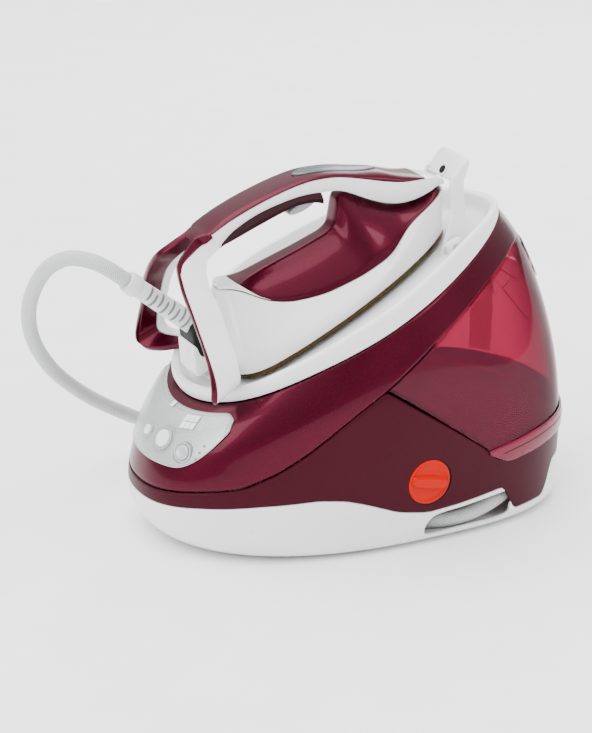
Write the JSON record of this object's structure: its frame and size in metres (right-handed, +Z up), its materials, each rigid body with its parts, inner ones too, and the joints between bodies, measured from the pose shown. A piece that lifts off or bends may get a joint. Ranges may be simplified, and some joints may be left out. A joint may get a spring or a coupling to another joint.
{
  "type": "steam generator iron",
  "caption": "Steam iron resting on a sloped pressure-boiler base station with a slide-out water tank, control panel, calc collector and stowed hose.",
  "frame": {"origin": "centre of the base footprint, on the surface the feet stand on", "axes": "+Z up; -Y towards the control panel and the iron heel; +Y towards the water tank and the iron nose; +X towards the calc collector"},
  "size_m": [0.3215, 0.5027, 0.3299],
  "materials": {
    "burgundy_gloss": "metallic burgundy, high gloss",
    "burgundy_dark": "dark burgundy, satin gloss",
    "tank_plastic": "translucent burgundy",
    "white_plastic": "satin white",
    "silver_panel": "pearl silver",
    "display_gloss": "clear gloss over a light display",
    "grey_plastic": "silver grey satin",
    "black_plastic": "black satin",
    "black_rubber": "matt black",
    "orange_plastic": "bright orange",
    "steel": "satin",
    "cast_alloy": "as cast",
    "sole_bronze": "bronze coated",
    "copper": "copper",
    "board_green": "green solder mask",
    "hose_textile": "woven light grey sleeve"
  },
  "bodies": {
    "base": {"base_pan": "white_plastic", "foot_1": "black_rubber", "foot_2": "black_rubber", "foot_3": "black_rubber", "foot_4": "black_rubber", "side_cover": "burgundy_dark", "upper_cover": "burgundy_gloss", "iron_rest": "white_plastic", "rest_plateau": "white_plastic", "rest_pad_right": "black_rubber", "rest_pad_left": "black_rubber", "rest_pad_nose": "black_rubber", "control_panel": "silver_panel", "display_window": "display_gloss", "control_board": "board_green", "tank_deck": "burgundy_dark", "tank_coupler": "black_plastic", "collector_socket": "black_plastic", "boiler": "steel", "heating_element": "copper", "steam_valve": "black_plastic", "water_pump": "steel", "mains_inlet": "black_plastic", "bail_pin_right": "steel", "bail_pin_left": "steel", "bail_bearing_right": "white_plastic", "bail_bearing_left": "white_plastic", "steam_hose": "hose_textile", "hose_gland": "steel"},
    "iron": {"soleplate": "sole_bronze", "steam_chamber": "cast_alloy", "iron_skirt": "white_plastic", "iron_saddle": "burgundy_gloss", "handle_cover": "burgundy_gloss", "handle_band": "white_plastic", "handle_grip": "burgundy_dark", "handle_inlay": "grey_plastic", "trigger_pin": "steel", "leg_cover_right": "white_plastic", "leg_cover_left": "white_plastic", "leg_liner_right": "burgundy_gloss", "leg_liner_left": "burgundy_gloss", "heel_block": "black_plastic", "strain_relief": "white_plastic"},
    "bail": {"lock_bail": "white_plastic"},
    "trigger": {"steam_trigger": "grey_plastic"},
    "steam_key": {"steam_button": "white_plastic"},
    "eco_key": {"eco_button": "white_plastic"},
    "power_key": {"power_button": "grey_plastic"},
    "collector": {"collector_rod": "steel", "collector_seal": "black_rubber"},
    "collector_knob": {"collector_cap": "orange_plastic"},
    "tank": {"water_tank": "tank_plastic", "tank_lip": "tank_plastic", "tank_grip": "burgundy_dark"},
    "flap": {"tank_flap": "tank_plastic"}
  },
  "joints": [
    {"name": "iron_lift", "type": "slide", "parent": "base", "child": "iron", "axis": [0, -0.3843, 0.9232], "range_m": [0, 0.09], "deforming": ["steam_hose"]},
    {"name": "lock_swing", "type": "hinge", "parent": "base", "child": "bail", "pos_m": [0, 0.09576, 0.2497], "axis": [-1, 0, 0], "range_deg": [0, 38]},
    {"name": "trigger_pull", "type": "hinge", "parent": "iron", "child": "trigger", "pos_m": [0, -0.03214, 0.30586], "axis": [-1, 0, 0], "range_deg": [0, 9], "stiffness_Nm_per_rad": 0.08},
    {"name": "steam_press", "type": "slide", "parent": "base", "child": "steam_key", "axis": [-0.1555, 0.8212, -0.549], "range_m": [0, 0.0012], "stiffness_N_per_m": 400},
    {"name": "eco_press", "type": "slide", "parent": "base", "child": "eco_key", "axis": [0.0214, 0.839, -0.5437], "range_m": [0, 0.0012], "stiffness_N_per_m": 400},
    {"name": "power_press", "type": "slide", "parent": "base", "child": "power_key", "axis": [-0.406, 0.8081, -0.4267], "range_m": [0, 0.0012], "stiffness_N_per_m": 400},
    {"name": "calc_pull", "type": "slide", "parent": "base", "child": "collector", "axis": [1, 0, 0], "range_m": [0, 0.07]},
    {"name": "calc_turn", "type": "hinge", "parent": "collector", "child": "collector_knob", "pos_m": [0.13, 0.022, 0.063], "axis": [1, 0, 0], "range_deg": [0, 90]},
    {"name": "tank_slide", "type": "slide", "parent": "base", "child": "tank", "axis": [0, 1, 0], "range_m": [0, 0.15]},
    {"name": "flap_swing", "type": "hinge", "parent": "tank", "child": "flap", "pos_m": [0, 0.1962, 0.1984], "axis": [-1, 0, 0], "range_deg": [0, 75]}
  ],
  "couplings": [
    {"joint": "lock_swing", "follows": "iron_lift", "rad_per_m": 7.369}
  ]
}
